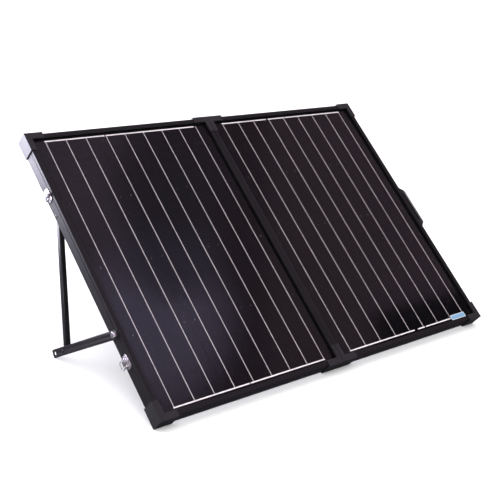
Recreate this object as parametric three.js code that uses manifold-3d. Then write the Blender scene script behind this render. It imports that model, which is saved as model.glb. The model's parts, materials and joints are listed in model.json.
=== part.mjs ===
// Folding solar panel suitcase: two glazed 50 W panels hinged at their backs, standing on
// two folding struts. Millimetres, Z up, front facing -Y, origin under the middle.
import * as THREE from 'three';
import { mergeVertices } from 'three/addons/utils/BufferGeometryUtils.js';
import Module from 'manifold-3d';

const wasm = await Module();
wasm.setup();

// Driving dimensions. A panel's own frame has x across, y up the slope and z out of the
// glass, with y = 0 at the bottom of the corner protectors and z = 0 on the frame's face.
const HEIGHT = 701;
const HALF_WIDTH = 510.5;
const PROTECTOR = { side: 2.7, arm: 45, front: 2, back: -33.5, skirt: 1.7 };
const GAP = 0.3;
const FRAME = { depth: 32, wall: 1.6, lip: 10, lipThick: 2, flange: 14, shelf: 11 };
const SEAM = 0.5;
const FRAME_INSET = 3;
const OUTER = HALF_WIDTH - FRAME_INSET;
const FRAME_WIDTH = OUTER - SEAM;
const FRAME_HEIGHT = HEIGHT - 2 * FRAME_INSET;
const MID = (OUTER + SEAM) / 2;
const CENTRE_Y = HEIGHT / 2;

const GLASS = { front: -2.3, back: -5.5 };
const CELL = { width: 156, height: 52, gap: 2, columns: 3, rows: 12, front: -5.95, back: -6.35 };
const BUSBAR = { width: 1.8, ribbon: 5, inset: 26, pitch: 52, reach: 656 };
const BACKSHEET = { front: -6.65, back: -7.05 };
const SLOT_END = -7.4;
const LAMINATE_INSET = 2.2;

const HINGE = { ys: [150, 551], length: 60, axisZ: -33.7, knuckle: 3.3, bore: 1.7, pin: 1.4 };
const LEAF = { reach: 26, front: -32.3, back: -33.5 };

// The strut and its brace, as the pivots they turn on. The strut is a half-inch square tube
// and the brace a three-quarter-inch flat bar.
const STRUT = { pivotY: 500.1, pivotZ: -25.3, footY: 277.6, footZ: -218.8, size: 12.7,
  wall: 1.2, round: 2.6, overrun: 6, hole: 2.8, rivet: 2.5, rivetHead: 4.5 };
const BRACE = { width: 19, thick: 3, pivotY: { left: 203.6, right: 192 },
  pivotZ: { left: -13.5, right: -17 }, footToHole: 36.4, overrun: 9, heelRound: 5,
  footHole: 2.8, endHole: 5 };
const BOLT = { shaft: 3, hole: 3.3, head: 7.5, headHigh: 5.3, nut: 4.3, nutHigh: 4, spacer: 5.5 };
const STOW = { outerBrace: OUTER + GAP, innerStrut: OUTER - FRAME.wall - GAP };

// The latches on the left panel, the keepers that face them and the handle on the right.
const LATCH_YS = [143, 549];
const LATCH = { axisX: OUTER + 4.5, axisZ: -27, wireZ: -19, wireEnd: -40, wire: 1.1, half: 9,
  plate: 1.6, earY: 6.6, lever: 5.5, leverTop: -7, pin: 1.4 };
const KEEPER = { postZ: -25.2, thick: 1.8, reach: 8, halfWidth: 6.5, curl: 5.8 };
const HANDLE = { centreY: 351, z0: -25, z1: -7, rise: 24, screwY: 56, screwZ: -14.6,
  screw: 2, screwHead: 3.3, screwHeadHigh: 2.2, screwDepth: 8 };

const BOX = { halfWidth: 55, y0: 590, y1: 652, front: -7.35, rim: -24, lid: -27, wall: 2,
  glandZ: -15.5 };
const LABEL = { x0: 409, x1: 463, y0: 14.6, y1: 27.5, front: -1.7 };

const black = { color: 0x1d1d20, roughness: 0.42, metalness: 0.35 };
const MATERIALS = {
  frame: black,
  plastic: { color: 0x17171a, roughness: 0.55, metalness: 0 },
  glass: { color: 0x2c2830, roughness: 0.06, metalness: 0 },
  cell: { color: 0x2a2530, roughness: 0.3, metalness: 0.1 },
  sheet: { color: 0x121214, roughness: 0.6, metalness: 0 },
  steel: { color: 0xc9c9cc, roughness: 0.25, metalness: 1 },
  label: { color: 0x6f93b8, roughness: 0.4, metalness: 0 },
};

// ---- solids -------------------------------------------------------------------------

function toSolid(geometry) {
  const plain = geometry.clone();
  plain.deleteAttribute('normal');
  plain.deleteAttribute('uv');
  const merged = mergeVertices(plain, 1e-4);
  return new wasm.Manifold(new wasm.Mesh({
    numProp: 3,
    vertProperties: merged.attributes.position.array,
    triVerts: new Uint32Array(merged.index.array),
  }));
}

function toGeometry(solid) {
  const mesh = solid.getMesh();
  const geometry = new THREE.BufferGeometry();
  geometry.setAttribute('position', new THREE.BufferAttribute(mesh.vertProperties, 3));
  geometry.setIndex(new THREE.BufferAttribute(mesh.triVerts, 1));
  geometry.computeVertexNormals();
  return geometry;
}

function join(...geometries) {
  const solids = geometries.map(toSolid);
  return toGeometry(solids.reduce((whole, next) => whole.add(next)));
}

function cut(geometry, ...tools) {
  const solids = tools.map(toSolid);
  return toGeometry(solids.reduce((whole, tool) => whole.subtract(tool), toSolid(geometry)));
}

function shapeOf(points) {
  return new THREE.Shape(points.map(([x, y]) => new THREE.Vector2(x, y)));
}

// A prism of an outline in x and y, from z0 to z1. Each arc of the outline gets twice
// as many edges as arcSteps.
function prismZ(shape, z0, z1, arcSteps = 1) {
  const geometry = new THREE.ExtrudeGeometry(shape, {
    depth: z1 - z0,
    bevelEnabled: false,
    curveSegments: arcSteps,
  });
  return geometry.translate(0, 0, z0);
}

// A prism of an outline in y and z, from x0 to x1.
function prismX(shape, x0, x1, arcSteps = 1) {
  const turn = new THREE.Matrix4().makeBasis(
    new THREE.Vector3(0, 1, 0),
    new THREE.Vector3(0, 0, 1),
    new THREE.Vector3(1, 0, 0),
  );
  return prismZ(shape, 0, x1 - x0, arcSteps).applyMatrix4(turn).translate(x0, 0, 0);
}

// A prism of an outline in z and x, from y0 to y1.
function prismY(shape, y0, y1) {
  const turn = new THREE.Matrix4().makeBasis(
    new THREE.Vector3(0, 0, 1),
    new THREE.Vector3(1, 0, 0),
    new THREE.Vector3(0, 1, 0),
  );
  return prismZ(shape, 0, y1 - y0).applyMatrix4(turn).translate(0, y0, 0);
}

function block(x0, x1, y0, y1, z0, z1) {
  const geometry = new THREE.BoxGeometry(x1 - x0, y1 - y0, z1 - z0);
  return geometry.translate((x0 + x1) / 2, (y0 + y1) / 2, (z0 + z1) / 2);
}

function rodX(radius, x0, x1, y, z, sides = 12) {
  const geometry = new THREE.CylinderGeometry(radius, radius, x1 - x0, sides);
  return geometry.rotateZ(Math.PI / 2).translate((x0 + x1) / 2, y, z);
}

function rodY(radius, y0, y1, x, z, sides = 12) {
  const geometry = new THREE.CylinderGeometry(radius, radius, y1 - y0, sides);
  return geometry.translate(x, (y0 + y1) / 2, z);
}

function roundedRect(x0, x1, y0, y1, r) {
  const shape = new THREE.Shape();
  shape.moveTo(x0 + r, y0);
  shape.lineTo(x1 - r, y0);
  shape.absarc(x1 - r, y0 + r, r, -Math.PI / 2, 0);
  shape.lineTo(x1, y1 - r);
  shape.absarc(x1 - r, y1 - r, r, 0, Math.PI / 2);
  shape.lineTo(x0 + r, y1);
  shape.absarc(x0 + r, y1 - r, r, Math.PI / 2, Math.PI);
  shape.lineTo(x0, y0 + r);
  shape.absarc(x0 + r, y0 + r, r, Math.PI, Math.PI * 1.5);
  return shape;
}

// Swaps left for right and turns the triangles round so that they still face out.
function mirrored(geometry) {
  const flipped = mergeVertices(geometry.clone().deleteAttribute('uv').deleteAttribute('normal'));
  flipped.scale(-1, 1, 1);
  const index = flipped.index.array;
  for (let i = 0; i < index.length; i += 3) {
    [index[i + 1], index[i + 2]] = [index[i + 2], index[i + 1]];
  }
  flipped.computeVertexNormals();
  return flipped;
}

const object = new THREE.Group();
const leaning = new THREE.Group();
object.add(leaning);

function addPiece(name, geometry, look) {
  const mesh = new THREE.Mesh(geometry, new THREE.MeshStandardMaterial(MATERIALS[look]));
  mesh.name = name;
  leaning.add(mesh);
}

// Everything below is drawn for the right-hand panel, and the left one is its mirror image.
function addSided(side, name, geometry, look) {
  const placed = side === 'left' ? mirrored(geometry) : geometry;
  addPiece(`${side}_${name}`, placed, look);
}

// ---- frame --------------------------------------------------------------------------

// The rail's section: distance in from the outer face, and depth below the frame's face.
function railSection(flange) {
  const { depth, wall, lip, lipThick, shelf } = FRAME;
  const groove = { top: -7.6, bottom: -9.2, depth: 0.6 };
  const chamfer = 0.8;
  const points = [
    [chamfer, 0],
    [0, -chamfer],
    [0, groove.top],
    [groove.depth, groove.top - 0.3],
    [groove.depth, groove.bottom + 0.3],
    [0, groove.bottom],
    [0, -depth],
    [flange, -depth],
    [flange, -depth + wall],
    [wall, -depth + wall],
    [wall, SLOT_END - wall],
    [shelf, SLOT_END - wall],
    [shelf, SLOT_END],
    [wall, SLOT_END],
    [wall, -lipThick],
    [lip, -lipThick],
    [lip, 0],
  ];
  const open = points.filter(([, z]) => flange > wall || z !== -depth + wall);
  return shapeOf(open);
}

// A rail along x, its outer face at y = 0, with both ends mitred.
function rail(length, flange) {
  const geometry = prismX(railSection(flange), -length / 2, length / 2);
  const position = geometry.attributes.position;
  for (let i = 0; i < position.count; i += 1) {
    const end = Math.sign(position.getX(i));
    position.setX(i, position.getX(i) - end * (position.getY(i) + GAP / 2));
  }
  return geometry;
}

function hingeRelief() {
  const reach = HINGE.length / 2 + 2;
  return HINGE.ys.map((y) => rodY(HINGE.knuckle + 0.7, y - reach, y + reach, 0, HINGE.axisZ));
}

// Holes through the outer rail for the stand's two pivots and, on the right, the handle.
function outerRailHoles(side) {
  const hole = (radius, y, z) => rodX(radius, OUTER - 3, OUTER + 3, y, z);
  const holes = [
    hole(STRUT.hole, STRUT.pivotY, STRUT.pivotZ),
    hole(BOLT.hole, BRACE.pivotY[side], BRACE.pivotZ[side]),
  ];
  if (side === 'right') {
    handleScrewYs().forEach((y) => holes.push(hole(HANDLE.screw + 0.4, y, HANDLE.screwZ)));
  }
  return holes;
}

function handleScrewYs() {
  return [-1, 1].map((sign) => HANDLE.centreY + sign * HANDLE.screwY);
}

function addRails(side) {
  const quarter = Math.PI / 2;
  const flange = FRAME.flange;
  const bottom = rail(FRAME_WIDTH, flange).translate(MID, FRAME_INSET, 0);
  const top = rail(FRAME_WIDTH, flange).rotateZ(Math.PI).translate(MID, HEIGHT - FRAME_INSET, 0);
  const outer = rail(FRAME_HEIGHT, FRAME.wall).rotateZ(quarter).translate(OUTER, CENTRE_Y, 0);
  const inner = rail(FRAME_HEIGHT, flange).rotateZ(-quarter).translate(SEAM, CENTRE_Y, 0);
  addSided(side, 'bottom_rail', bottom, 'frame');
  addSided(side, 'top_rail', top, 'frame');
  addSided(side, 'outer_rail', cut(outer, ...outerRailHoles(side)), 'frame');
  addSided(side, 'inner_rail', cut(inner, ...hingeRelief()), 'frame');
}

// An L that runs along the outside of a corner at the origin, towards -x and +y.
function cornerL(arm, width, start = 0) {
  return shapeOf([
    [-start, start],
    [-arm, start],
    [-arm, start + width],
    [-start - width, start + width],
    [-start - width, arm],
    [-start, arm],
  ]);
}

// The moulded cover of a bottom outer corner, its corner at the origin.
function outerProtector() {
  const { side, arm, front, back, skirt } = PROTECTOR;
  const faceWidth = FRAME_INSET + FRAME.lip + GAP + skirt;
  const face = prismZ(cornerL(arm, faceWidth), GAP, front);
  const walls = prismZ(cornerL(arm, side), back, front);
  const inner = prismZ(cornerL(arm, skirt, faceWidth - skirt), GLASS.front + GAP, front);
  const backing = prismZ(cornerL(arm, FRAME_INSET + FRAME.lip), back, -FRAME.depth - GAP);
  return join(face, walls, inner, backing);
}

// The moulded cover of a bottom corner beside the seam, where no side wall fits.
function innerProtector() {
  const { side, arm, front, back, skirt } = PROTECTOR;
  const lip = FRAME.lip + GAP + skirt;
  const base = FRAME_INSET + lip;
  const face = prismZ(shapeOf([
    [0, 0], [arm, 0], [arm, base], [lip, base], [lip, arm], [0, arm],
  ]), GAP, front);
  const wall = block(0, arm, 0, side, back, front);
  const inner = prismZ(shapeOf([
    [lip - skirt, base - skirt], [arm, base - skirt], [arm, base],
    [lip, base], [lip, arm], [lip - skirt, arm],
  ]), GLASS.front + GAP, front);
  const backing = prismZ(shapeOf([
    [0, 0], [arm, 0], [arm, base], [lip, base], [lip, arm], [0, arm],
  ]), back, -FRAME.depth - GAP);
  return join(face, wall, inner, backing);
}

function addProtectors(side) {
  const outer = outerProtector();
  const inner = innerProtector();
  const flipY = (geometry) => mirrored(geometry.clone().rotateZ(Math.PI));
  addSided(side, 'outer_bottom_protector', outer.clone().translate(HALF_WIDTH, 0, 0), 'plastic');
  addSided(side, 'outer_top_protector', flipY(outer).translate(HALF_WIDTH, HEIGHT, 0), 'plastic');
  addSided(side, 'inner_bottom_protector', inner.clone().translate(SEAM, 0, 0), 'plastic');
  addSided(side, 'inner_top_protector', flipY(inner).translate(SEAM, HEIGHT, 0), 'plastic');
}

// ---- laminate -----------------------------------------------------------------------

function laminateSheet(front, back) {
  const x0 = SEAM + LAMINATE_INSET;
  const x1 = OUTER - LAMINATE_INSET;
  const y0 = FRAME_INSET + LAMINATE_INSET;
  return block(x0, x1, y0, HEIGHT - y0, back, front);
}

// Where each column of cells starts, counted from the seam.
function columnStart(column) {
  const total = CELL.columns * CELL.width + (CELL.columns - 1) * CELL.gap;
  const toSeam = 0.9;
  return MID - toSeam - total / 2 + column * (CELL.width + CELL.gap);
}

function busbarX(line) {
  const perColumn = CELL.width / BUSBAR.pitch;
  const column = Math.floor(line / perColumn);
  return columnStart(column) + BUSBAR.inset + (line % perColumn) * BUSBAR.pitch;
}

function ribbon(firstLine, lastLine, top) {
  const y = CENTRE_Y + (top ? 1 : -1) * BUSBAR.reach / 2;
  const half = BUSBAR.ribbon / 2;
  const side = BUSBAR.width / 2;
  return block(busbarX(firstLine) - side, busbarX(lastLine) + side, y - half, y + half,
    CELL.back, CELL.front);
}

// The 36 cells in three strings, with the end ribbons that join the strings in series. Each
// cell has three busbars, and the middle one stands for all three as the link between cells.
// A split is the number of busbars, counted from the seam, before a ribbon's break.
function cellArray(topSplit, bottomSplit) {
  const pitch = CELL.height + CELL.gap;
  const pieces = [];
  const bottom = CENTRE_Y - (CELL.rows * pitch - CELL.gap) / 2;
  const half = BUSBAR.width / 2;
  const reach = BUSBAR.reach / 2;
  for (let column = 0; column < CELL.columns; column += 1) {
    const x = columnStart(column);
    for (let row = 0; row < CELL.rows; row += 1) {
      const y = bottom + row * pitch;
      pieces.push(block(x, x + CELL.width, y, y + CELL.height, CELL.back, CELL.front));
    }
    const middle = busbarX(column * 3 + 1);
    pieces.push(block(middle - half, middle + half, CENTRE_Y - reach, CENTRE_Y + reach,
      CELL.back, CELL.front));
  }
  for (const [split, top] of [[topSplit, true], [bottomSplit, false]]) {
    pieces.push(ribbon(0, split - 1, top));
    pieces.push(ribbon(split, 8, top));
  }
  return join(...pieces);
}

function addLaminate(side) {
  addSided(side, 'glass', laminateSheet(GLASS.front, GLASS.back), 'glass');
  const splits = side === 'left' ? [6, 3] : [3, 6];
  addSided(side, 'cell_array', cellArray(...splits), 'cell');
  addSided(side, 'backsheet', laminateSheet(BACKSHEET.front, BACKSHEET.back), 'sheet');
}

function addJunctionBox(side) {
  const { y0, y1, front, rim, lid, wall, glandZ } = BOX;
  const x0 = MID - BOX.halfWidth;
  const x1 = MID + BOX.halfWidth;
  const within = (inset, radius) => (
    roundedRect(x0 + inset, x1 - inset, y0 + inset, y1 - inset, radius)
  );
  const tray = cut(
    prismZ(within(0, 5), rim, front),
    prismZ(within(wall, 3), rim - 1, front - wall),
    rodY(4.2, y0 - wall, y0 + 2 * wall, MID, glandZ),
  );
  addSided(side, 'junction_box', tray, 'plastic');
  const cover = join(
    prismZ(within(-1, 6), lid, rim - GAP),
    prismZ(within(wall + 0.4, 3), rim - GAP, rim + wall),
  );
  addSided(side, 'junction_lid', cover, 'plastic');
  const gland = join(
    rodY(6.5, y0 - 5, y0 - GAP, MID, glandZ, 6),
    rodY(5.6, y0 - 13, y0 - 5, MID, glandZ),
    rodY(3.9, y0 - GAP, y0 + 3, MID, glandZ),
  );
  const bore = rodY(2.6, y0 - 14, y0 + 4, MID, glandZ);
  addSided(side, 'cable_gland', cut(gland, bore), 'plastic');
}

// ---- stand --------------------------------------------------------------------------

// Turns a piece drawn along +y from the origin so that it points from one pivot to another.
function aim(geometry, fromY, fromZ, toY, toZ) {
  return geometry.rotateX(Math.atan2(toZ - fromZ, toY - fromY)).translate(0, fromY, fromZ);
}

function addStrut(side) {
  const { pivotY, pivotZ, footY, footZ, size, wall, round, overrun } = STRUT;
  const length = Math.hypot(footY - pivotY, footZ - pivotZ);
  const outer = STOW.innerStrut;
  const inner = outer - size;
  const half = size / 2;
  const tube = prismY(roundedRect(-half, half, inner, outer, round), -overrun, length + overrun);
  const bore = prismY(
    roundedRect(-half + wall, half - wall, inner + wall, outer - wall, round - wall),
    -overrun - 1,
    length + overrun + 1,
  );
  const holes = [0, length].map((y) => rodX(STRUT.hole, inner - 1, outer + 1, y, 0));
  const strut = cut(tube, bore, ...holes);
  addSided(side, 'strut', aim(strut, pivotY, pivotZ, footY, footZ), 'frame');
  const rivet = join(
    rodX(STRUT.rivet, inner - 2, OUTER - 0.1, pivotY, pivotZ),
    rodX(STRUT.rivetHead, inner - 2, inner - GAP, pivotY, pivotZ),
  );
  addSided(side, 'strut_rivet', rivet, 'frame');
}

// The brace's slope and its length from pivot to foot bolt, set by where the strut ends.
function braceLine(side) {
  const y = STRUT.footY - BRACE.pivotY[side];
  const z = STRUT.footZ - BRACE.pivotZ[side];
  return { turn: Math.atan2(z, y), foot: Math.hypot(y, z) };
}

// The round heel's centre, in the panel's y and z, for its distance along a brace.
function heelPlace(side, along) {
  const { turn } = braceLine(side);
  const below = BRACE.heelRound - BRACE.width / 2;
  return {
    y: BRACE.pivotY[side] + along * Math.cos(turn) - below * Math.sin(turn),
    z: BRACE.pivotZ[side] + along * Math.sin(turn) + below * Math.cos(turn),
  };
}

function leftHeelAlong() {
  return braceLine('left').foot + BRACE.footToHole + BRACE.overrun - BRACE.heelRound;
}

// The lean at which the frame's back edge and the left brace's round heel both touch the ground.
function standingTilt() {
  const { y, z } = heelPlace('left', leftHeelAlong());
  const drop = PROTECTOR.back - z;
  return Math.atan2(drop, y) + Math.asin(BRACE.heelRound / Math.hypot(drop, y));
}

// A brace's length from its pivot to its end. The right heel reaches the same ground.
function braceEnd(side) {
  if (side === 'left') {
    return leftHeelAlong() + BRACE.heelRound;
  }
  const tilt = standingTilt();
  const height = (along) => {
    const { y, z } = heelPlace(side, along);
    return y * Math.sin(tilt) + (z - PROTECTOR.back) * Math.cos(tilt);
  };
  const fall = height(0) - height(1);
  return (height(0) - BRACE.heelRound) / fall + BRACE.heelRound;
}

// The brace's outline along +y from its pivot: round at the pivot, and rounded at the low
// corner of its far end.
function braceOutline(end) {
  const half = BRACE.width / 2;
  const round = BRACE.heelRound;
  const shape = new THREE.Shape();
  shape.moveTo(end, half - 1);
  shape.lineTo(end - 1, half);
  shape.lineTo(0, half);
  shape.absarc(0, 0, half, Math.PI / 2, Math.PI * 1.5);
  shape.lineTo(end - round, -half);
  shape.absarc(end - round, -half + round, round, -Math.PI / 2, 0);
  return shape;
}

// The left brace lies outside the frame. The handle is in the way on the right, so that
// brace lies inside, on the strut's inner face.
function braceFace(side) {
  return side === 'left' ? STOW.outerBrace : STOW.innerStrut - STRUT.size - GAP - BRACE.thick;
}

function addBrace(side) {
  const pivotY = BRACE.pivotY[side];
  const pivotZ = BRACE.pivotZ[side];
  const { turn, foot } = braceLine(side);
  const end = braceEnd(side);
  const x0 = braceFace(side);
  const x1 = x0 + BRACE.thick;
  const place = (geometry) => geometry.rotateX(turn).translate(0, pivotY, pivotZ);
  const holes = [[BOLT.hole, 0], [BRACE.footHole, foot], [BRACE.endHole, end - BRACE.overrun]];
  const tools = holes.map(([radius, y]) => rodX(radius, x0 - 1, x1 + 1, y, 0));
  const bar = prismX(braceOutline(end), x0, x1, 4);
  addSided(side, 'brace', place(cut(bar, ...tools)), 'frame');
  const head = side === 'left' ? [x1 + GAP, x1 + 1.5] : [x0 - 1.5, x0 - GAP];
  const footBolt = join(
    rodX(2.5, Math.min(x0, head[0]), Math.max(x1, head[1]), foot, 0),
    rodX(4.5, head[0], head[1], foot, 0),
  );
  addSided(side, 'foot_bolt', place(footBolt), 'frame');
}

// The hex bolt that a brace turns on, through the frame's wall, and the nut inside. On the
// right a spacer holds the brace off the wall, where the stowed strut lies.
function addBraceBolt(side) {
  const pivotY = BRACE.pivotY[side];
  const pivotZ = BRACE.pivotZ[side];
  const braceX = braceFace(side);
  const headFace = Math.max(braceX + BRACE.thick, OUTER) + GAP;
  const nutFace = Math.min(braceX, OUTER - FRAME.wall) - GAP;
  const tip = nutFace - BOLT.nutHigh - 1.5;
  const bolt = join(
    rodX(BOLT.shaft, tip, headFace + 1, pivotY, pivotZ),
    rodX(BOLT.head, headFace, headFace + BOLT.headHigh, pivotY, pivotZ, 6),
  );
  addSided(side, 'brace_bolt', bolt, 'steel');
  const ring = (radius, x0, x1) => cut(
    rodX(radius, x0, x1, pivotY, pivotZ),
    rodX(BOLT.shaft + 0.2, x0 - 1, x1 + 1, pivotY, pivotZ),
  );
  addSided(side, 'brace_nut', ring(BOLT.nut, nutFace - BOLT.nutHigh, nutFace), 'steel');
  if (side === 'right') {
    const spacerStart = braceX + BRACE.thick + GAP;
    const spacer = ring(BOLT.spacer, spacerStart, OUTER - FRAME.wall - GAP);
    addSided(side, 'brace_spacer', spacer, 'steel');
  }
}

// ---- middle hinges ------------------------------------------------------------------

function hingeLeaf(y, own) {
  const { length, axisZ, knuckle, bore } = HINGE;
  const segments = 5;
  const step = length / segments;
  const bottom = y - length / 2;
  const pieces = [prismZ(roundedRect(knuckle + 0.6, LEAF.reach, bottom, bottom + length, 2),
    LEAF.back, LEAF.front)];
  for (let i = 0; i < segments; i += 1) {
    if (i % 2 === own) {
      const y0 = bottom + i * step + GAP / 2;
      const y1 = bottom + (i + 1) * step - GAP / 2;
      pieces.push(rodY(knuckle, y0, y1, 0, axisZ));
      pieces.push(block(1.5, knuckle + 2, y0, y1, LEAF.back, LEAF.front));
    }
  }
  return cut(join(...pieces), rodY(bore, bottom - 1, bottom + length + 1, 0, axisZ));
}

function addHinge(name, y) {
  addPiece(`${name}_hinge_left_leaf`, mirrored(hingeLeaf(y, 0)), 'frame');
  addPiece(`${name}_hinge_right_leaf`, hingeLeaf(y, 1), 'frame');
  const half = HINGE.length / 2;
  const pin = join(
    rodY(HINGE.pin, y - half - 1.2, y + half + 1.2, 0, HINGE.axisZ),
    rodY(HINGE.knuckle - 0.5, y + half + GAP, y + half + 1.5, 0, HINGE.axisZ),
    rodY(HINGE.knuckle - 0.5, y - half - 1.5, y - half - GAP, 0, HINGE.axisZ),
  );
  addPiece(`${name}_hinge_pin`, pin, 'steel');
}

// ---- latches, keepers and handle ----------------------------------------------------

function latchBase() {
  const { axisX, axisZ, plate, earY } = LATCH;
  const x0 = OUTER + GAP;
  const sheet = prismX(roundedRect(-16, 15, -29, -9, 7), x0, x0 + plate);
  const ears = [-earY, earY].map((y) => join(
    block(x0 + 1, axisX, y - 0.8, y + 0.8, axisZ - 3, axisZ + 3),
    rodY(3, y - 0.8, y + 0.8, axisX, axisZ),
  ));
  return cut(join(sheet, ...ears), rodY(1.7, -12, 12, axisX, axisZ));
}

function latchLever() {
  const { axisX, axisZ, wireZ, earY, lever, leverTop, pin } = LATCH;
  const barrel = rodY(2.6, -lever, lever, axisX, axisZ);
  const pins = rodY(pin, -earY - 1, earY + 1, axisX, axisZ, 8);
  const plate = block(axisX + 1.1, axisX + 2.6, -lever, lever, axisZ, leverTop);
  const thumb = block(axisX + 1.1, axisX + 4.4, -lever, lever, leverTop - 1.2, leverTop + 0.3);
  const cheekY = lever - 0.9;
  const sides = [-cheekY, cheekY].map((y) => (
    block(axisX - 2.4, axisX + 1.5, y - 0.8, y + 0.8, wireZ - 4, wireZ + 5)
  ));
  return cut(join(barrel, pins, plate, thumb, ...sides), rodY(1.5, -9, 9, axisX, wireZ, 8));
}

// A wire bent into a bail: two ends that turn in the lever, two arms and a cross wire.
function latchWire() {
  const { axisX, wireZ, wireEnd, wire, half, lever } = LATCH;
  const sides = 6;
  const pieces = [rodY(wire, -half - wire, half + wire, axisX, wireEnd, sides)];
  for (const side of [-1, 1]) {
    const ends = [side * (lever - 2), side * (half + wire)].sort((a, b) => a - b);
    const arm = new THREE.CylinderGeometry(wire * 0.9, wire * 0.9, wireZ - wireEnd, sides);
    arm.rotateX(Math.PI / 2).translate(axisX, side * half, (wireZ + wireEnd) / 2);
    pieces.push(arm);
    pieces.push(rodY(wire, ends[0], ends[1], axisX, wireZ, sides));
  }
  return join(...pieces);
}

// The hook that the latch wire catches when the case is shut.
function keeper() {
  const { postZ, thick, reach, halfWidth, curl } = KEEPER;
  const x0 = OUTER + GAP;
  const tip = OUTER + reach;
  const plate = prismX(roundedRect(-12, 12, -30, -8, 4), x0, x0 + LATCH.plate);
  const post = block(x0 + 1, tip, -halfWidth, halfWidth, postZ, postZ + thick);
  const lip = block(tip - 1.5, tip, -halfWidth, halfWidth, postZ, postZ + curl);
  return join(plate, post, lip);
}

function handle() {
  const bevel = 2;
  const base = OUTER + GAP;
  const top = OUTER + HANDLE.rise;
  const outline = shapeOf([
    [base, -65], [base + 6, -65], [top - 3, -54], [top, -50],
    [top, 50], [top - 3, 54], [base + 6, 65], [base, 65],
    [base, 47], [base + 5, 46], [base + 13, 42], [base + 15, 38],
    [base + 15, -38], [base + 13, -42], [base + 5, -46], [base, -47],
  ]);
  const geometry = new THREE.ExtrudeGeometry(outline, {
    depth: HANDLE.z1 - HANDLE.z0 - 2 * bevel,
    bevelThickness: bevel,
    bevelSize: bevel,
    bevelOffset: -bevel,
    bevelSegments: 2,
  });
  return geometry.translate(0, HANDLE.centreY, HANDLE.z0 + bevel);
}

function handleScrew(y) {
  const { screw, screwHead, screwHeadHigh, screwDepth, screwZ } = HANDLE;
  const head = OUTER - FRAME.wall - GAP;
  return join(
    rodX(screw, head - 1, OUTER + screwDepth, y, screwZ),
    rodX(screwHead, head - screwHeadHigh, head, y, screwZ),
  );
}

function addHandle() {
  const { screw, screwDepth, screwZ } = HANDLE;
  const holes = handleScrewYs().map((y) => (
    rodX(screw + GAP, OUTER - 1, OUTER + screwDepth + 0.5, y, screwZ)
  ));
  addPiece('carry_handle', cut(handle(), ...holes), 'plastic');
  handleScrewYs().forEach((y, i) => {
    addPiece(`handle_screw_${i === 0 ? 'lower' : 'upper'}`, handleScrew(y), 'steel');
  });
}

function standOnGround() {
  leaning.rotation.x = standingTilt();
  object.updateMatrixWorld(true);
  const bounds = new THREE.Box3().setFromObject(object, true);
  const middle = bounds.getCenter(new THREE.Vector3());
  object.position.set(-middle.x, -middle.y, -bounds.min.z);
}

// ---- assembly -----------------------------------------------------------------------

for (const side of ['left', 'right']) {
  addRails(side);
  addProtectors(side);
  addLaminate(side);
  addJunctionBox(side);
  addStrut(side);
  addBrace(side);
  addBraceBolt(side);
}
HINGE.ys.forEach((y, i) => addHinge(i === 0 ? 'lower' : 'upper', y));
LATCH_YS.forEach((y, i) => {
  const level = i === 0 ? 'lower' : 'upper';
  addSided('left', `${level}_latch_base`, latchBase().translate(0, y, 0), 'steel');
  addSided('left', `${level}_latch_lever`, latchLever().translate(0, y, 0), 'steel');
  addSided('left', `${level}_latch_wire`, latchWire().translate(0, y, 0), 'steel');
  addSided('right', `${level}_keeper`, keeper().translate(0, y, 0), 'frame');
});
addHandle();
const { x0, x1, y0, y1, front } = LABEL;
addPiece('blank_label', block(x0, x1, y0, y1, GLASS.front + GAP, front), 'label');
standOnGround();

export default object;
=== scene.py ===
"""Looks for the folding solar panel suitcase: detailed pieces, materials, light and camera.

Shapes are drawn in millimetres in the panel's own frame: x across from the seam, y up the
slope from the bottom edge, z out of the glass from the frame's face. They take their places
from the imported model's nodes and joints.
"""

import json
import math

import bmesh
import bpy
from mathutils import Matrix, Vector
from mathutils.geometry import tessellate_polygon


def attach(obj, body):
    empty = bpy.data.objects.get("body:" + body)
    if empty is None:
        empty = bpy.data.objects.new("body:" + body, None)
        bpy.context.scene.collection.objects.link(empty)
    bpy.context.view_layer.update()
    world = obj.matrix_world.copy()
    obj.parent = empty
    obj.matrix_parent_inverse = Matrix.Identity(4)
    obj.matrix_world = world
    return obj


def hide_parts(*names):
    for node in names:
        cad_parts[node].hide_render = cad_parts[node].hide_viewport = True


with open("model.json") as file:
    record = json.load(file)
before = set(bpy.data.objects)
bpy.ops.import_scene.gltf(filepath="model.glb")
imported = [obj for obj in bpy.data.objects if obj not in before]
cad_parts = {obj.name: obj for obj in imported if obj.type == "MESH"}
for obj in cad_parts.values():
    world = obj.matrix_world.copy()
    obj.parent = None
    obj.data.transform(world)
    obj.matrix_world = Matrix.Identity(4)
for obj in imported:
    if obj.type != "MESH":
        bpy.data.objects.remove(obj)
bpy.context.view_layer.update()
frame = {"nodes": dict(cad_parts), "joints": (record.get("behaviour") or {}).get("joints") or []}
NODES = frame["nodes"]
JOINTS = {joint["name"]: joint for joint in frame["joints"]}
SIDES = ("left", "right")
LEVELS = ("lower", "upper")


# ---- the panel's own frame ----

def spot(node, space):
    """Lowest and highest corners of a node, in a space's own coordinates."""
    back = space.inverted()
    points = [back @ v.co for v in NODES[node].data.vertices]
    low = Vector(min(p[i] for p in points) for i in range(3))
    high = Vector(max(p[i] for p in points) for i in range(3))
    return low, high


def panel_space():
    """Panel millimetres to metres in the row frame."""
    fold = JOINTS["panel_fold"]
    up = Vector(fold["axis"]).normalized()
    across = Vector((1, 0, 0))
    turn = Matrix((across, up, across.cross(up))).transposed().to_4x4()
    space = Matrix.Translation(fold["pos_m"]) @ turn @ Matrix.Scale(0.001, 4)
    bottom = spot("left_outer_bottom_protector", space)[0].y
    face = spot("left_bottom_rail", space)[1].z
    return space @ Matrix.Translation((0, bottom, face))


PANEL = panel_space()


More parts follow.
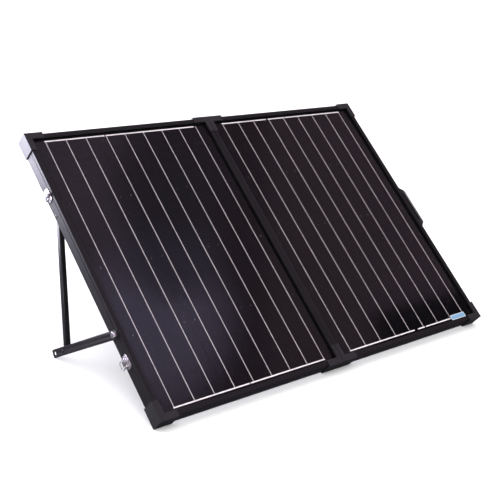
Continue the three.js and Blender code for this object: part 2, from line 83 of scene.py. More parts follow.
def pivot_of(joint):
    """A joint's place in the panel's frame."""
    return PANEL.inverted() @ Vector(JOINTS[joint]["pos_m"])


def from_seam(node):
    """How near the seam and how far from it a node reaches, on either panel."""
    return sorted(abs(corner.x) for corner in spot(node, PANEL))


def link_space(joint, degrees):
    """A space whose y runs along a link that turns on a joint, at that angle from the slope."""
    return PANEL @ Matrix.Translation(pivot_of(joint)) @ Matrix.Rotation(
        math.radians(degrees), 4, "X")


# ---- outlines and solids ----

SMALL_ARC = {"under": 3, "steps": 5}
LARGE_ARC_STEPS = 8


def arc_steps(radius):
    return SMALL_ARC["steps"] if radius < SMALL_ARC["under"] else LARGE_ARC_STEPS


def rounded(points, radii):
    """A path's points with each corner rounded: radii is one number or one for each corner."""
    count = len(points)
    if not isinstance(radii, (list, tuple)):
        radii = [radii] * count
    path = []
    for i, (point, radius) in enumerate(zip(points, radii)):
        here = Vector(point)
        if radius <= 0:
            path.append(here)
            continue
        before = (Vector(points[i - 1]) - here).normalized()
        after = (Vector(points[(i + 1) % count]) - here).normalized()
        half = before.angle(after) / 2
        middle = here + (before + after).normalized() * radius / math.sin(half)
        first = here + before * radius / math.tan(half) - middle
        last = here + after * radius / math.tan(half) - middle
        steps = arc_steps(radius)
        swing = first.angle(last)
        for step in range(steps + 1):
            share = step / steps
            mix = (first * math.sin((1 - share) * swing) + last * math.sin(share * swing))
            path.append(middle + mix / math.sin(swing))
    return path


def rectangle(x0, x1, y0, y1, radius):
    return rounded([(x0, y0), (x1, y0), (x1, y1), (x0, y1)], radius)


def within(low, high, gap, radius):
    """A rectangle inside a box's two corners, by the same gap on all sides."""
    return rectangle(low.x + gap, high.x - gap, low.y + gap, high.y - gap, radius)


def circle(radius, x=0.0, y=0.0, sides=32):
    turns = [2 * math.pi * i / sides for i in range(sides)]
    return [Vector((x + radius * math.cos(a), y + radius * math.sin(a))) for a in turns]


def hole(radius, x=0.0, y=0.0, sides=32):
    return circle(radius, x, y, sides)[::-1]


# A sharp corner moves in by at most the depth divided by this.
LEAST_COSINE = 0.4


def inset(loop, depth):
    """The loop moved to its left, which is into the material, by that depth."""
    moved = []
    for i, point in enumerate(loop):
        before = (point - loop[i - 1]).normalized()
        after = (loop[(i + 1) % len(loop)] - point).normalized()
        left = Vector((-before.y, before.x))
        both = (left + Vector((-after.y, after.x))).normalized()
        moved.append(point + both * depth / max(both.dot(left), LEAST_COSINE))
    return moved


def plate(loops, low, high, bevel=0.3, steps=2):
    """A flat plate of an outline and its holes in x and y, with rounded edges."""
    profile = [(bevel, low)]
    if bevel > 0:
        turns = [math.pi / 2 * k / steps for k in range(steps + 1)]
        profile = [(bevel * (1 - math.sin(a)), low + bevel * (1 - math.cos(a))) for a in turns]
    profile += [(depth, low + high - z) for depth, z in reversed(profile)]
    points, faces = [], []
    rings = []
    for depth, z in profile:
        ring = []
        for loop in loops:
            ring.append([len(points) + i for i in range(len(loop))])
            points += [Vector((p.x, p.y, z)) for p in inset(loop, depth)]
        rings.append(ring)
    for ring, following in zip(rings, rings[1:]):
        for a, b in zip(ring, following):
            faces += [(a[i - 1], a[i], b[i], b[i - 1]) for i in range(len(a))]
    for ring in (rings[0], rings[-1]):
        order = [i for loop in ring for i in loop]
        flat = tessellate_polygon([[points[i] for i in loop] for loop in ring])
        faces += [tuple(order[i] for i in triangle) for triangle in flat]
    return points, faces


def lathe(profile, sides=32):
    """A solid turned about z, from (radius, height) pairs."""
    points, faces, rings = [], [], []
    for radius, height in profile:
        if radius == 0:
            rings.append([len(points)])
            points.append(Vector((0, 0, height)))
        else:
            rings.append([len(points) + i for i in range(sides)])
            points += [Vector((p.x, p.y, height)) for p in circle(radius, sides=sides)]
    for a, b in zip(rings, rings[1:]):
        for i in range(sides):
            if len(a) == 1:
                faces.append((a[0], b[i], b[i - 1]))
            elif len(b) == 1:
                faces.append((a[i - 1], a[i], b[0]))
            else:
                faces.append((a[i - 1], a[i], b[i], b[i - 1]))
    for ring in (rings[0], rings[-1]):
        if len(ring) > 1:
            faces.append(tuple(ring))
    return points, faces


def wire(path, radius, sides=12):
    """A round wire along a path."""
    points, faces = [], []
    count = len(path)
    side = Vector((0, 0, 1))
    for i, point in enumerate(path):
        along = (path[min(i + 1, count - 1)] - path[max(i - 1, 0)]).normalized()
        if abs(along.dot(side)) > 0.95:
            side = Vector((1, 0, 0))
        side = (side - along * side.dot(along)).normalized()
        other = along.cross(side)
        points += [point + side * p.x + other * p.y for p in circle(radius, sides=sides)]
    for k in range(count - 1):
        for i in range(sides):
            a, b = k * sides + i, k * sides + (i + 1) % sides
            faces.append((a, b, b + sides, a + sides))
    faces.append(tuple(range(sides)))
    faces.append(tuple(range((count - 1) * sides, count * sides)))
    return points, faces


def moved(part, matrix):
    return [matrix @ p for p in part[0]], part[1]


def shifted(part, x=0.0, y=0.0, z=0.0):
    return moved(part, Matrix.Translation((x, y, z)))


# Matrices that stand a shape drawn in x and y on another plane: its z becomes that axis.
TO_X = Matrix(((0, 0, 1, 0), (1, 0, 0, 0), (0, 1, 0, 0), (0, 0, 0, 1)))
TO_Y = Matrix(((0, 1, 0, 0), (0, 0, 1, 0), (1, 0, 0, 0), (0, 0, 0, 1)))
TO_MINUS_X = Matrix.Scale(-1, 4, (1, 0, 0)) @ TO_X
FLIP = Matrix.Scale(-1, 4, (1, 0, 0))
# Edges that turn by more degrees than this stay sharp.
SHARP_EDGE = 35


def for_side(side, parts):
    """Parts are drawn for the right-hand panel: the left one is its mirror image."""
    return [moved(part, FLIP) for part in parts] if side == "left" else parts


def on_pivot(side, parts, pivot):
    """Parts drawn out along x for the right side, set at a pivot's height on either side."""
    return [shifted(part, 0, pivot.y, pivot.z) for part in for_side(side, parts)]


def add(name, data):
    """A new object in the scene."""
    made = bpy.data.objects.new(name, data)
    bpy.context.scene.collection.objects.link(made)
    return made


def make(name, parts, material, body, stands_for=(), space=PANEL):
    """One piece from its parts, riding on a body."""
    grid = bmesh.new()
    for points, faces in parts:
        made = [grid.verts.new(space @ p) for p in points]
        for face in faces:
            grid.faces.new([made[i] for i in face])
    bmesh.ops.recalc_face_normals(grid, faces=grid.faces)
    mesh = bpy.data.meshes.new(name)
    grid.to_mesh(mesh)
    grid.free()
    mesh.shade_smooth()
    mesh.set_sharp_from_angle(angle=math.radians(SHARP_EDGE))
    mesh.materials.append(material)
    piece = add(name, mesh)
    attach(piece, body)
    if stands_for:
        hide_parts(*stands_for)
    return piece


def soften(node, material, width, segments=2):
    """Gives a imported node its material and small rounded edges."""
    piece = NODES[node]
    piece.data.materials.clear()
    piece.data.materials.append(material)
    flat = piece.modifiers.new("merge_flat_faces", "DECIMATE")
    flat.decimate_type = "DISSOLVE"
    flat.angle_limit = math.radians(0.5)
    bevel = piece.modifiers.new("edges", "BEVEL")
    bevel.width = width / 1000
    bevel.segments = segments
    bevel.limit_method = "ANGLE"
    bevel.angle_limit = math.radians(30)
    bevel.harden_normals = True
    bevel.use_clamp_overlap = True


# ---- materials ----

class Paint:
    """A small builder for one node material around a Principled shader."""

    def __init__(self, name):
        self.material = bpy.data.materials.new(name)
        self.material.use_nodes = True
        self.tree = self.material.node_tree
        self.shader = self.tree.nodes["Principled BSDF"]
        self.output = self.tree.nodes["Material Output"]
        self.place = self.node("ShaderNodeTexCoord").outputs["Object"]

    def node(self, kind, **settings):
        made = self.tree.nodes.new(kind)
        for key, value in settings.items():
            setattr(made, key, value)
        return made

    def link(self, source, target):
        self.tree.links.new(source, target)

    def set(self, **sockets):
        for key, value in sockets.items():
            self.shader.inputs[key.replace("_", " ")].default_value = value

    def slope(self, stretch=(1, 1, 1)):
        """Object coordinates turned into the panel's frame, in metres, and stretched."""
        mapping = self.node("ShaderNodeMapping", vector_type="POINT")
        mapping.inputs["Rotation"].default_value = PANEL.inverted().to_euler()
        mapping.inputs["Scale"].default_value = stretch
        self.link(self.place, mapping.inputs["Vector"])
        return mapping.outputs["Vector"]

    def noise(self, scale, detail=3.0, vector=None, rough=0.5):
        made = self.node("ShaderNodeTexNoise")
        made.inputs["Scale"].default_value = scale
        made.inputs["Detail"].default_value = detail
        made.inputs["Roughness"].default_value = rough
        self.link(vector or self.place, made.inputs["Vector"])
        return made.outputs["Fac"]

    def ramp(self, source, low, high, colours):
        made = self.node("ShaderNodeValToRGB")
        made.color_ramp.elements[0].position = low
        made.color_ramp.elements[1].position = high
        for element, colour in zip(made.color_ramp.elements, colours):
            element.color = (*colour, 1)
        self.link(source, made.inputs["Fac"])
        return made.outputs["Color"]

    def spread(self, source, low, high):
        made = self.node("ShaderNodeMapRange")
        made.inputs["To Min"].default_value = low
        made.inputs["To Max"].default_value = high
        self.link(source, made.inputs["Value"])
        return made.outputs["Result"]

    def math(self, operation, first, second=None):
        made = self.node("ShaderNodeMath", operation=operation)
        for socket, value in zip(made.inputs, (first, second)):
            if value is None:
                continue
            if isinstance(value, (int, float)):
                socket.default_value = value
            else:
                self.link(value, socket)
        return made.outputs["Value"]

    def mix(self, factor, first, second, blend="MIX"):
        made = self.node("ShaderNodeMix", data_type="RGBA", blend_type=blend)
        colours = [socket for socket in made.inputs if socket.type == "RGBA"]
        factors = [socket for socket in made.inputs if socket.type == "VALUE"]
        for socket, value in ((factors[0], factor), (colours[0], first), (colours[1], second)):
            if isinstance(value, (int, float)):
                socket.default_value = value
            elif isinstance(value, tuple):
                socket.default_value = (*value, 1)
            else:
                self.link(value, socket)
        return [socket for socket in made.outputs if socket.type == "RGBA"][0]

    def colour(self, source):
        self.link(source, self.shader.inputs["Base Color"])

    def roughness(self, source):
        self.link(source, self.shader.inputs["Roughness"])

    def bump(self, height, strength, distance):
        made = self.node("ShaderNodeBump")
        made.inputs["Strength"].default_value = strength
        made.inputs["Distance"].default_value = distance
        self.link(height, made.inputs["Height"])
        self.link(made.outputs["Normal"], self.shader.inputs["Normal"])


def anodised(name, stretch):
    """Black anodised extrusion: a satin film with faint draw lines along the rail."""
    paint = Paint(name)
    lines = paint.noise(260, 4, paint.slope(stretch), 0.6)
    clouds = paint.noise(9, 3)
    tone = paint.mix(0.35, lines, clouds)
    paint.colour(paint.ramp(tone, 0.3, 0.7, [(0.0035, 0.003, 0.0038), (0.007, 0.0058, 0.007)]))
    paint.roughness(paint.spread(tone, 0.3, 0.42))
    paint.bump(lines, 0.12, 0.0003)
    paint.set(Specular_IOR_Level=0.3)
    return paint.material


def moulded(name, dark, light, rough=(0.38, 0.52), grain=900):
    """Moulded plastic: fine spark-eroded grain and a slightly uneven tone."""
    paint = Paint(name)
    pebbles = paint.noise(grain, 2, rough=0.6)
    clouds = paint.noise(22, 4)
    paint.colour(paint.ramp(clouds, 0.3, 0.75, [dark, light]))
    paint.roughness(paint.spread(clouds, *rough))
    paint.bump(pebbles, 0.22, 0.0004)
    return paint.material


def powder_coat():
    paint = Paint("stand_powder_coat")
    peel = paint.noise(520, 2)
    clouds = paint.noise(14, 3)
    paint.colour(paint.ramp(clouds, 0.3, 0.7, [(0.005, 0.005, 0.006), (0.011, 0.0095, 0.011)]))
    paint.roughness(paint.spread(clouds, 0.24, 0.34))
    paint.bump(peel, 0.12, 0.0003)
    paint.set(Specular_IOR_Level=0.4)
    return paint.material


def steel(name, tone, rough):
    """Bright plated steel with fine scratches and a little tarnish."""
    paint = Paint(name)
    scratches = paint.noise(700, 4, rough=0.7)
    stain = paint.noise(60, 3)
    dark = tuple(0.72 * v for v in tone)
    paint.colour(paint.ramp(stain, 0.3, 0.62, [dark, tone]))
    paint.roughness(paint.spread(scratches, rough * 0.7, rough * 1.3))
    paint.bump(scratches, 0.08, 0.0002)
    paint.set(Metallic=1.0)
    return paint.material


def ribbon_metal():
    """Tinned copper ribbon: soft silver, slightly uneven along its length."""
    paint = Paint("tinned_ribbon")
    uneven = paint.noise(90, 4)
    colours = [(0.7, 0.64, 0.67), (0.95, 0.88, 0.92)]
    paint.colour(paint.ramp(uneven, 0.3, 0.55, colours))
    paint.roughness(paint.spread(uneven, 0.5, 0.65))
    under_glass(paint)
    return paint.material


# Metres: the size of a patch of one tone, and the step from finger to finger.
CELL_STEP = {"across": 0.158, "up": 0.054}
FINGER = {"pitch": 0.002, "threshold": 0.97, "strength": 0.12}


def cell_silicon():
    """Near-black silicon in patches the size of a cell, each with a tone of its own, and
    hair-thin fingers across it."""
    paint = Paint("silicon_cell")
    place = paint.slope()
    parts = paint.node("ShaderNodeSeparateXYZ")
    paint.link(place, parts.inputs["Vector"])
    column = paint.math("FLOOR", paint.math("DIVIDE", parts.outputs["X"], CELL_STEP["across"]))
    row = paint.math("FLOOR", paint.math("DIVIDE", parts.outputs["Y"], CELL_STEP["up"]))
    index = paint.node("ShaderNodeCombineXYZ")
    paint.link(column, index.inputs["X"])
    paint.link(row, index.inputs["Y"])
    each = paint.node("ShaderNodeTexWhiteNoise")
    paint.link(index.outputs["Vector"], each.inputs["Vector"])
    tone = paint.math("ADD", paint.math("MULTIPLY", each.outputs["Value"], 0.3),
                      paint.math("MULTIPLY", paint.noise(3.2, 4), 0.7))
    body = paint.ramp(tone, 0.25, 0.75, [(0.0019, 0.0013, 0.0017), (0.0016, 0.0014, 0.0023)])
    turns = paint.math("MULTIPLY", parts.outputs["Y"], math.tau / FINGER["pitch"])
    line = paint.math("GREATER_THAN", paint.math("SINE", turns), FINGER["threshold"])
    finger = paint.math("MULTIPLY", line, FINGER["strength"])
    paint.colour(paint.mix(finger, body, (0.05, 0.045, 0.05)))
    paint.roughness(paint.spread(tone, 0.34, 0.46))
    under_glass(paint)
    return paint.material


def solar_glass():
    """Coated low-iron glass. It is bonded to the cells and film, so the mirror of its face
    is the clear coat on theirs, and the slab itself is all but clear."""
    paint = Paint("solar_glass")
    haze = paint.ramp(paint.noise(5, 2), 0.3, 0.7, [(0.96, 0.955, 0.96), (0.985, 0.98, 0.985)])
    paint.set(Base_Color=(0.02, 0.02, 0.022, 1), Specular_IOR_Level=0.1)
    paint.roughness(paint.spread(paint.noise(9, 2), 0.05, 0.09))
    clear = paint.node("ShaderNodeBsdfTransparent")
    paint.link(haze, clear.inputs["Color"])
    mix = paint.node("ShaderNodeMixShader")
    mix.inputs["Fac"].default_value = 0.03
    paint.link(clear.outputs["BSDF"], mix.inputs[1])
    paint.link(paint.shader.outputs["BSDF"], mix.inputs[2])
    paint.link(mix.outputs["Shader"], paint.output.inputs["Surface"])
    return paint.material


def under_glass(paint):
    """The clear coat of the glass that a layer is bonded to."""
    paint.set(Specular_IOR_Level=0.0, Coat_Weight=1.0, Coat_IOR=1.5, Coat_Roughness=0.06)


def film(name, dark, light, rough, bonded=False):
    paint = Paint(name)
    weave = paint.noise(1200, 2)
    clouds = paint.noise(7, 4)
    paint.colour(paint.ramp(clouds, 0.3, 0.7, [dark, light]))
    paint.roughness(paint.spread(clouds, *rough))
    paint.bump(weave, 0.12, 0.0002)
    if bonded:
        under_glass(paint)
    return paint.material


def floor_paint():
    """A pale floor that gloss mirrors as a darker one, as if black card lay just off it."""
    paint = Paint("studio_floor")
    clouds = paint.noise(1.5, 2)
    pale = paint.ramp(clouds, 0.2, 0.8, [(0.94, 0.94, 0.943), (0.96, 0.96, 0.96)])
    gloss = paint.node("ShaderNodeLightPath").outputs["Is Glossy Ray"]
    paint.colour(paint.mix(gloss, pale, (0.08, 0.075, 0.085)))
    paint.set(Roughness=0.85, Specular_IOR_Level=0.1)
    return paint.material


# Draw lines run along x on the top and bottom rails and up the slope on the others.
RAIL_ACROSS = anodised("anodised_across", (0.03, 1, 1))
RAIL_UP = anodised("anodised_up", (1, 0.03, 1))
CORNER = moulded("corner_plastic", (0.008, 0.0075, 0.009), (0.014, 0.013, 0.015))
BOX = moulded("box_plastic", (0.012, 0.012, 0.013), (0.022, 0.022, 0.024))
GRIP = moulded("handle_plastic", (0.006, 0.006, 0.006), (0.012, 0.012, 0.012))
GRIP_RIB = moulded("handle_ribs", (0.16, 0.16, 0.16), (0.26, 0.26, 0.26), (0.5, 0.65))
STAND = powder_coat()
BRIGHT = steel("bright_steel", (0.9, 0.88, 0.9), 0.26)
DULL = steel("dull_steel", (0.42, 0.41, 0.43), 0.36)
RIBBON = ribbon_metal()
SILICON = cell_silicon()
GLASS = solar_glass()
BACK = film("back_film", (0.0022, 0.0019, 0.0022), (0.0036, 0.003, 0.0036), (0.45, 0.6), True)
LABEL = film("label_film", (0.12, 0.24, 0.39), (0.17, 0.31, 0.48), (0.3, 0.4))
LABEL_EDGE = film("label_border", (0.62, 0.68, 0.74), (0.74, 0.78, 0.82), (0.3, 0.4))
SEALANT = moulded("black_sealant", (0.01, 0.01, 0.01), (0.018, 0.018, 0.018), (0.5, 0.62))


# ---- frame, corners, glass ----

def dress_frame(side):
    for rail in ("bottom", "top"):
        soften(f"{side}_{rail}_rail", RAIL_ACROSS, 0.35)
    for rail in ("outer", "inner"):
        soften(f"{side}_{rail}_rail", RAIL_UP, 0.35)
    for corner in ("outer_bottom", "outer_top", "inner_bottom", "inner_top"):
        soften(f"{side}_{corner}_protector", CORNER, 0.9, 3)


def dress_glass(side):
    soften(f"{side}_glass", GLASS, 0.2, 1)
    soften(f"{side}_backsheet", BACK, 0.05, 1)


# ---- cells ----

CELL = {"width": 156, "height": 52, "gap": 2, "columns": 3, "rows": 12, "corner": 15.4}
BUSBAR = {"width": 1.0, "inset": 26, "pitch": 52, "ribbon": 2.9}
ROWS_A_WAFER = 3
BUSBARS_A_CELL = 3
CUT_BULGE = 0.38
SOLDER = {"radius": 0.5, "from_corner": 2.4, "rise": 1.4}
# How far below the cell array's top the cells' and the busbars' faces lie.
BELOW_TOP = {"cells": 0.14, "busbars": 0.03}
# Each ribbon stretch runs between two of the nine busbars, with an offset in mm at each end.
RIBBONS = {
    "left": [
        ("top", 0, -2, 3, -4), ("top", 3, -0.5, 7, 46),
        ("bottom", 0, -2, 3, 40), ("bottom", 3, 43, 8, 2),
    ],
    "right": [
        ("top", 0, -2, 3, -9.8), ("top", 3, -2.5, 4, 3), ("top", 4, 6.5, 8, 2),
        ("bottom", 0, -2, 4, 16.7), ("bottom", 4, 30, 5, 3.5), ("bottom", 5, 8, 8, 2),
    ],
}


def cell_outline(x, y, row):
    """One third of a wafer: only the thirds at its two ends have its clipped corners."""
    right, top = x + CELL["width"], y + CELL["height"]
    low = CELL["corner"] if row % ROWS_A_WAFER == 0 else 0
    high = CELL["corner"] if row % ROWS_A_WAFER == ROWS_A_WAFER - 1 else 0
    corners = [(x, y, 1, 1, low), (right, y, -1, 1, low),
               (right, top, -1, -1, high), (x, top, 1, -1, high)]
    points = []
    for cx, cy, inward, upward, clip in corners:
        if not clip:
            points.append(Vector((cx, cy)))
            continue
        on_side = Vector((cx, cy + upward * clip))
        bulge = Vector((cx + inward * clip * CUT_BULGE, cy + upward * clip * CUT_BULGE))
        on_end = Vector((cx + inward * clip, cy))
        arc = [on_side, bulge, on_end]
        points += arc if inward == upward else arc[::-1]
    return points


def column_starts(low):
    step = CELL["width"] + CELL["gap"]
    return [low.x + column * step for column in range(CELL["columns"])]


def busbar_lines(starts):
    inset_x, pitch = BUSBAR["inset"], BUSBAR["pitch"]
    return [x + inset_x + k * pitch for x in starts for k in range(BUSBARS_A_CELL)]


def bar(x0, x1, y0, y1, low, high):
    return plate([rectangle(x0, x1, y0, y1, 0)], low, high, 0.02, 1)


def make_cells(side):
    """The cells, then their busbars and the ribbons along the top and bottom."""
    low, high = spot(f"{side}_cell_array", PANEL)
    face, top = high.z - BELOW_TOP["cells"], high.z - BELOW_TOP["busbars"]
    starts = column_starts(low)
    pitch = CELL["height"] + CELL["gap"]
    middle = (low.y + high.y) / 2
    bottom = middle - (CELL["rows"] * pitch - CELL["gap"]) / 2
    cells = []
    for x in starts:
        for row in range(CELL["rows"]):
            outline = cell_outline(x, bottom + row * pitch, row)
            cells.append(plate([outline], low.z, face, 0.02, 1))
    body = f"{side}_panel"
    make(f"{side}_cells", cells, SILICON, body, [f"{side}_cell_array"])

    half = BUSBAR["width"] / 2
    ribbon = BUSBAR["ribbon"]
    lines = busbar_lines(starts)
    bars = [bar(x - half, x + half, low.y + 1, high.y - 1, face, top) for x in lines]
    for end, first, before, last, after in RIBBONS[side]:
        y = high.y - ribbon if end == "top" else low.y
        bars.append(bar(lines[first] + before, lines[last] + after, y, y + ribbon,
                        face, top + 0.01))
    solder = CELL["corner"] - SOLDER["from_corner"]
    for x in starts:
        for row in range(ROWS_A_WAFER, CELL["rows"], ROWS_A_WAFER):
            y = bottom + row * pitch - CELL["gap"] / 2
            for at in (x + solder, x + CELL["width"] - solder):
                blob = circle(SOLDER["radius"], at, y + SOLDER["rise"], 12)
                bars.append(plate([blob], face, top, 0.02, 1))
    make(f"{side}_busbars", bars, RIBBON, body)


# The frame's lip ends this far in from the glass's edge.
SEAL = {"reach": 7.8, "under_lip": 0.4, "wide": 0.9}


def make_seal(side):
    """The line of black sealant between the glass and the frame's lip."""
    low, high = spot(f"{side}_glass", PANEL)
    outer = within(low, high, SEAL["reach"] - SEAL["under_lip"], 0)
    inner = within(low, high, SEAL["reach"] + SEAL["wide"], 1.2)[::-1]
    bead = plate([outer, inner], high.z - 0.05, high.z + 0.35, 0.12)
    make(f"{side}_glass_seal", [bead], SEALANT, f"{side}_panel")


# ---- junction boxes ----

def screw_head(radius, height):
    """A domed head standing on z = 0."""
    dome = [(radius, 0), (radius, height * 0.35)]
    for k in range(1, 6):
        a = math.pi / 2 * k / 5
        dome.append((radius * math.cos(a), height * (0.35 + 0.65 * math.sin(a))))
    dome[-1] = (0, height)
    return lathe(dome, 24)


DOWN = Matrix.Scale(-1, 4, (0, 0, 1))
JUNCTION = {"wall": 2, "corner": 5, "flange": 4, "rebate": 2.3, "ribs": 7, "rib_in": 22,
            "screw": 2.6, "screw_in": 6}
GLAND = {"bore": 2.6, "nut": 6.5, "cap": 5.9, "neck": 5.5, "ribs": 12}


def make_junction_box(side):
    body = f"{side}_panel"
    low, high = spot(f"{side}_junction_box", PANEL)
    lid_low, lid_high = spot(f"{side}_junction_lid", PANEL)
    wall, corner = JUNCTION["wall"], JUNCTION["corner"]
    outer = within(low, high, 0, corner)
    inner = within(low, high, wall, corner - wall)[::-1]
    flange = within(low, high, -JUNCTION["flange"], 7)
    tray = [
        plate([outer, inner], low.z, high.z - wall + 0.5, 0.4),
        plate([outer], high.z - wall, high.z, 0.3),
        plate([flange], high.z - 1.2, high.z - 0.02, 0.4),
    ]
    make(f"{side}_junction_tray", tray, BOX, body, [f"{side}_junction_box"])
    lid_top = lid_high.z - JUNCTION["rebate"]
    lid = [plate([within(lid_low, lid_high, 0, 6)], lid_low.z, lid_top, 1.0, 3)]
    lid.append(plate([rectangle(lid_low.x + 14, lid_high.x - 14, lid_low.y + 10,
                                lid_high.y - 10, 3)], lid_low.z - 0.8, lid_low.z + 0.5, 0.4))
    side_gap, ribs = JUNCTION["rib_in"], JUNCTION["ribs"]
    for k in range(ribs):
        x = lid_low.x + side_gap + k * (lid_high.x - lid_low.x - 2 * side_gap) / (ribs - 1)
        lid.append(plate([rectangle(x - 1.2, x + 1.2, lid_low.y + 14, lid_high.y - 14, 1.1)],
                         lid_low.z - 1.5, lid_low.z, 0.4))
    lid.append(plate([inset(outer, wall + 0.4)], lid_top - 0.2, lid_high.z, 0.2))
    make(f"{side}_junction_cover", lid, BOX, body, [f"{side}_junction_lid"])
    head = moved(screw_head(JUNCTION["screw"], 1.3), DOWN)
    gap = JUNCTION["screw_in"]
    screws = [shifted(head, x, y, lid_low.z)
              for x in (lid_low.x + gap, lid_high.x - gap)
              for y in (lid_low.y + gap, lid_high.y - gap)]
    make(f"{side}_junction_screws", screws, DULL, body)
    make_gland(side)


def make_gland(side):
    """A cable gland: a hex nut, a ribbed cap and the stem through the box's wall."""
    low, high = spot(f"{side}_cable_gland", PANEL)
    bore, wide, neck = GLAND["bore"], GLAND["cap"], GLAND["neck"]
    nut = plate([circle(GLAND["nut"], sides=6), hole(bore + 0.6)], 0, 4.6, 0.5)
    cap = lathe([(bore, 4.4), (wide, 4.4), (wide, 5.4), (neck, 5.6), (neck, 6.2), (wide, 6.4),
                 (wide, 9.4), (5.2, 11.4), (4.0, 12.4), (bore, 12.4)], 32)
    stem = lathe([(bore, -3.2), (3.9, -3.2), (3.9, 0.4), (bore, 0.4)], 32)
    ribs = []
    for k in range(GLAND["ribs"]):
        a = math.tau * k / GLAND["ribs"]
        rib = plate([rectangle(-0.7, 0.7, -0.5, 0.9, 0.3)], 6.6, 9.2, 0.2)
        ribs.append(moved(rib, Matrix.Rotation(a, 4, "Z") @ Matrix.Translation((0, 5.6, 0))))
    place = ((low.x + high.x) / 2, high.y - 3, (low.z + high.z) / 2)
    turn = Matrix.Translation(place) @ Matrix.Rotation(math.pi / 2, 4, "X")
    make(f"{side}_gland", [moved(p, turn) for p in (nut, cap, stem, *ribs)], BOX,
         f"{side}_panel", [f"{side}_cable_gland"])


# ---- stand ----

STRUT = {"wall": 1.2, "corner": 2.6, "plug_sunk": 0.6, "plug_deep": 4, "plug_corner": 0.7}
RIVET = {"shank": 2.5, "head": 4.5, "head_high": 1.6, "tail": 4.2, "tail_high": 1.1}


def make_strut(side):
    fold = JOINTS[f"{side}_strut_swing"]["range_deg"][0]
    space = link_space(f"{side}_strut_swing", 180 - fold)
    low, high = spot(f"{side}_strut", space)
    wall, corner = STRUT["wall"], STRUT["corner"]
    x0, x1, z0, z1 = low.x, high.x, low.z, high.z
    bore = (z0 + wall, z1 - wall, x0 + wall, x1 - wall)
    tube = [rectangle(z0, z1, x0, x1, corner), rectangle(*bore, corner - wall)[::-1]]
    parts = [plate(tube, low.y, high.y, 0.25)]
    sunk, deep = STRUT["plug_sunk"], STRUT["plug_deep"]
    for y0, y1 in ((high.y - deep, high.y - sunk), (low.y + sunk, low.y + deep)):
        parts.append(plate([rectangle(*bore, STRUT["plug_corner"])], y0, y1, 0.3))
    make(f"{side}_strut_tube", [moved(p, TO_Y) for p in parts], STAND, f"{side}_strut",
         [f"{side}_strut"], space)
    make_rivet(side)


def make_rivet(side):
    """The rivet that the strut turns on, with its tail against the outside of the wall."""
    low, high = spot(f"{side}_strut_rivet", PANEL)
    middle = (low + high) / 2
    near, far = from_seam(f"{side}_strut_rivet")
    length = far - near - 0.3
    shank = lathe([(0, 0), (RIVET["shank"], 0), (RIVET["shank"], length), (0, length)])
    head = moved(screw_head(RIVET["head"], RIVET["head_high"]), TO_MINUS_X)
    tail = moved(screw_head(RIVET["tail"], RIVET["tail_high"]), TO_X)
    parts = [
        shifted(moved(shank, TO_X), near),
        shifted(shifted(head, RIVET["head_high"] + 0.1), near),
        shifted(tail, from_seam(f"{side}_outer_rail")[1]),
    ]
    make(f"{side}_strut_pivot_rivet", on_pivot(side, parts, middle), STAND, f"{side}_panel",
         [f"{side}_strut_rivet"])


BRACE = {"thick": 3, "toe": 1.2, "heel": 5, "bolt_hole": 3.3, "foot_hole": 2.8, "end_hole": 5,
         "end_to_hole": 9, "foot_shaft": 2.5, "foot_head": 4.5}
BOLT = {"head": 7.5, "head_high": 5.3, "head_turn": 16, "shaft": 3, "root": 2.7, "threads": 5,
        "bore": 3.1, "nut": 4.3, "sleeve_bore": 3.2, "sleeve": 5.5}


def make_brace(side):
    open_angle = JOINTS[f"{side}_brace_swing"]["range_deg"][1]
    space = link_space(f"{side}_brace_swing", -open_angle)
    low, high = spot(f"{side}_brace", space)
    bolt_low, bolt_high = spot(f"{side}_foot_bolt", space)
    foot = (bolt_low.y + bolt_high.y) / 2
    half = (high.z - low.z) / 2
    end = high.y
    outline = rounded([(end, half), (-half, half), (-half, -half), (end, -half)],
                      [BRACE["toe"], half, half, BRACE["heel"]])
    loops = [outline, hole(BRACE["bolt_hole"]), hole(BRACE["foot_hole"], foot),
             hole(BRACE["end_hole"], end - BRACE["end_to_hole"])]
    strap = moved(plate(loops, low.x, high.x, 0.35), TO_X)
    make(f"{side}_brace_strap", [strap], STAND, f"{side}_brace",
         [f"{side}_brace"], space)
    through, shaft = BRACE["thick"], BRACE["foot_shaft"]
    dome = [shifted(screw_head(BRACE["foot_head"], 1.2), z=-0.1),
            lathe([(0, -through), (shaft, -through), (shaft, 0), (0, 0)])]
    parts = [shifted(moved(p, TO_MINUS_X), low.x, foot, 0) for p in dome]
    make(f"{side}_brace_foot_bolt", parts, STAND, f"{side}_brace",
         [f"{side}_foot_bolt"], space)


def hex_head(radius, height):
    """A forged hex head standing on z = 0: a washer face, then six flats and a chamfer."""
    flats = plate([circle(radius, sides=6)], 0.3, height - 0.5, 0.15)
    top = plate([circle(radius * 0.86, sides=24)], height - 0.8, height, 0.45, 3)
    face = lathe([(0, 0), (radius * 0.84, 0), (radius * 0.84, 0.5), (0, 0.5)], 32)
    return [flats, top, face]


